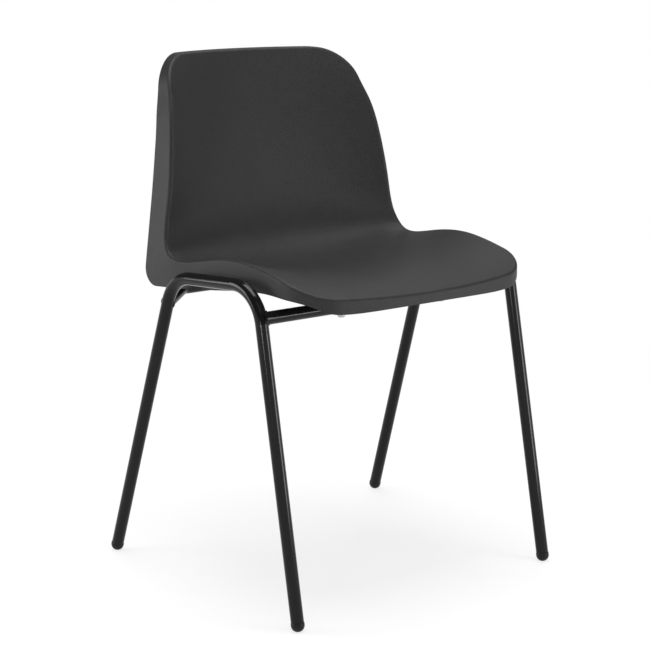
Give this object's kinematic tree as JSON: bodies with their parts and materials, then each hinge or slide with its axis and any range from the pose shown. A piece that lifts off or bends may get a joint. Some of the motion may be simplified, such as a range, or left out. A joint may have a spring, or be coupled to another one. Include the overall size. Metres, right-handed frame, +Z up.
{
  "type": "stacking chair",
  "caption": "Armless stacking chair: a one-piece moulded plastic seat and back with a deep turned edge, screwed to a welded round-tube steel frame on domed feet.",
  "frame": {"origin": "on the floor, at the middle of the chair's footprint box", "axes": "+Z up, the sitter faces -Y, +X towards the sitter's left"},
  "size_m": [0.5494, 0.5064, 0.782],
  "materials": {
    "shell_plastic": "fine moulded grain, charcoal black polypropylene",
    "frame_paint": "gloss black powder coat on steel tube",
    "foot_plastic": "smooth black nylon",
    "fixing_steel": "zinc plated"
  },
  "bodies": {
    "root": {"seat_shell": "shell_plastic", "left_side_frame": "frame_paint", "right_side_frame": "frame_paint", "front_cross_tube": "frame_paint", "rear_cross_tube": "frame_paint", "shell_screws": "fixing_steel", "saddle_washers": "fixing_steel", "left_front_foot": "foot_plastic", "right_front_foot": "foot_plastic", "left_rear_foot": "foot_plastic", "right_rear_foot": "foot_plastic"}
  },
  "joints": []
}
